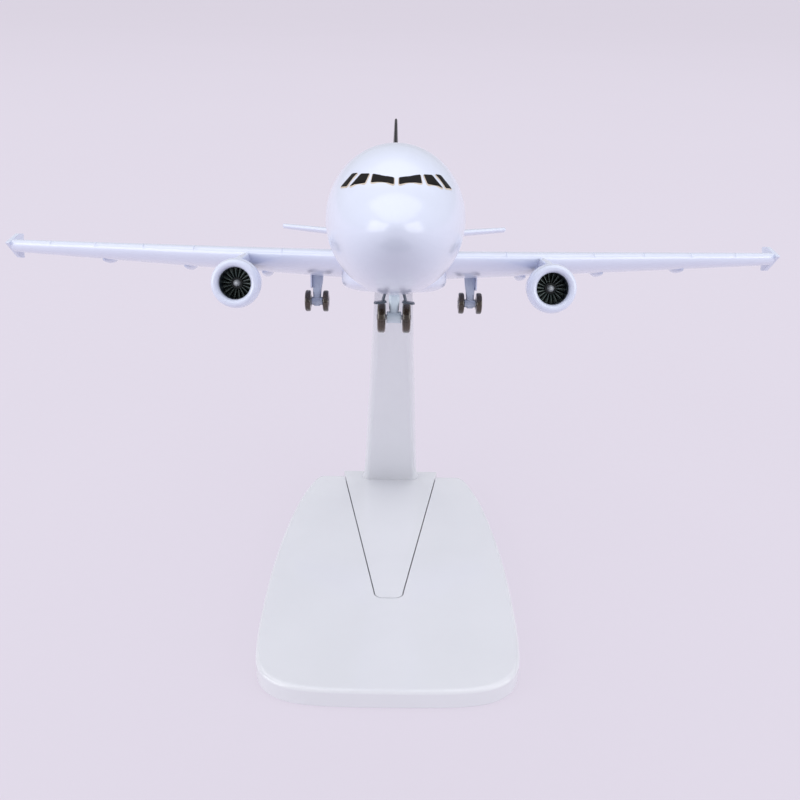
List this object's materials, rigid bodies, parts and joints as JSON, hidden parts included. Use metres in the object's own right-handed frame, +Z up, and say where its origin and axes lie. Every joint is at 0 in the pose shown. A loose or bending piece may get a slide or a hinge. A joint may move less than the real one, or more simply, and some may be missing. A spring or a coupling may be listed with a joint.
{
  "type": "desktop airliner model",
  "caption": "White twin-engined airliner model with wheels down, held nose-up by a tapered arm that plugs into a flat display base.",
  "frame": {"origin": "centre of the stand's flat underside", "axes": "+Z up; the nose points to -Y; +X is towards the aircraft's own left wing tip, which is on the right seen from the front"},
  "size_m": [0.1708, 0.1892, 0.1156],
  "materials": {
    "white_enamel": "thick gloss white enamel over a cast body",
    "white_plastic": "polished white moulding",
    "black_enamel": "gloss black enamel",
    "pane_grey": "gloss dark grey-brown panes",
    "dark_enamel": "satin dark grey",
    "gear_enamel": "satin blue-grey",
    "bronze_plastic": "bronze-coloured moulding",
    "hub_plastic": "dark brown moulding",
    "screw_steel": "bare steel",
    "bare_casting": "unpainted casting",
    "black_plastic": "matt black moulding"
  },
  "bodies": {
    "stand": {"stand_base": "white_plastic", "base_cover": "white_plastic", "base_screws": "screw_steel"},
    "arm": {"stand_arm": "white_plastic"},
    "airframe": {"fuselage_upper": "white_enamel", "fuselage_lower": "white_enamel", "fuselage_screws": "screw_steel", "cockpit_panes": "pane_grey", "belly_fairing": "white_enamel", "mount_socket": "black_plastic", "wing_box": "bare_casting", "wing_box_screws": "screw_steel", "wing_left": "white_enamel", "wing_right": "white_enamel", "fence_left": "white_enamel", "fence_right": "white_enamel", "flap_tracks_left": "white_enamel", "flap_tracks_right": "white_enamel", "stabiliser_left": "white_enamel", "stabiliser_right": "white_enamel", "fin": "black_enamel", "pylon_left": "white_enamel", "nacelle_left": "white_enamel", "inlet_lip_left": "white_enamel", "engine_core_left": "dark_enamel", "exhaust_cone_left": "dark_enamel", "pylon_right": "white_enamel", "nacelle_right": "white_enamel", "inlet_lip_right": "white_enamel", "engine_core_right": "dark_enamel", "exhaust_cone_right": "dark_enamel", "nose_leg": "gear_enamel", "nose_doors": "gear_enamel", "main_leg_left": "gear_enamel", "main_door_left": "white_enamel", "main_leg_right": "gear_enamel", "main_door_right": "white_enamel"},
    "fan_left_set": {"fan_left": "dark_enamel", "spinner_left": "gear_enamel", "fan_shaft_left": "screw_steel"},
    "fan_right_set": {"fan_right": "dark_enamel", "spinner_right": "gear_enamel", "fan_shaft_right": "screw_steel"},
    "nose_wheels": {"nose_axle": "screw_steel", "nose_tyres": "bronze_plastic", "nose_hubs": "hub_plastic"},
    "main_wheels_left": {"main_axle_left": "screw_steel", "main_tyres_left": "bronze_plastic", "main_hubs_left": "hub_plastic"},
    "main_wheels_right": {"main_axle_right": "screw_steel", "main_tyres_right": "bronze_plastic", "main_hubs_right": "hub_plastic"}
  },
  "joints": [
    {"name": "arm_slide", "type": "slide", "parent": "stand", "child": "arm", "axis": [0, 1, 0], "range_m": [0, 0.07]},
    {"name": "aircraft_lift", "type": "slide", "parent": "arm", "child": "airframe", "axis": [0, 0.2756, 0.9613], "range_m": [0, 0.03]},
    {"name": "fan_spin_left", "type": "hinge", "parent": "airframe", "child": "fan_left_set", "pos_m": [0.0282, -0.03102, 0.0852], "axis": [0, 0.9613, -0.2756], "continuous": true},
    {"name": "fan_spin_right", "type": "hinge", "parent": "airframe", "child": "fan_right_set", "pos_m": [-0.0282, -0.03102, 0.0852], "axis": [0, 0.9613, -0.2756], "continuous": true},
    {"name": "nose_wheel_spin", "type": "hinge", "parent": "airframe", "child": "nose_wheels", "pos_m": [0, -0.06409, 0.09068], "axis": [1, 0, 0], "continuous": true},
    {"name": "main_wheel_spin_left", "type": "hinge", "parent": "airframe", "child": "main_wheels_left", "pos_m": [0.016, -0.0056, 0.07375], "axis": [1, 0, 0], "continuous": true},
    {"name": "main_wheel_spin_right", "type": "hinge", "parent": "airframe", "child": "main_wheels_right", "pos_m": [-0.016, -0.0056, 0.07375], "axis": [1, 0, 0], "continuous": true}
  ]
}
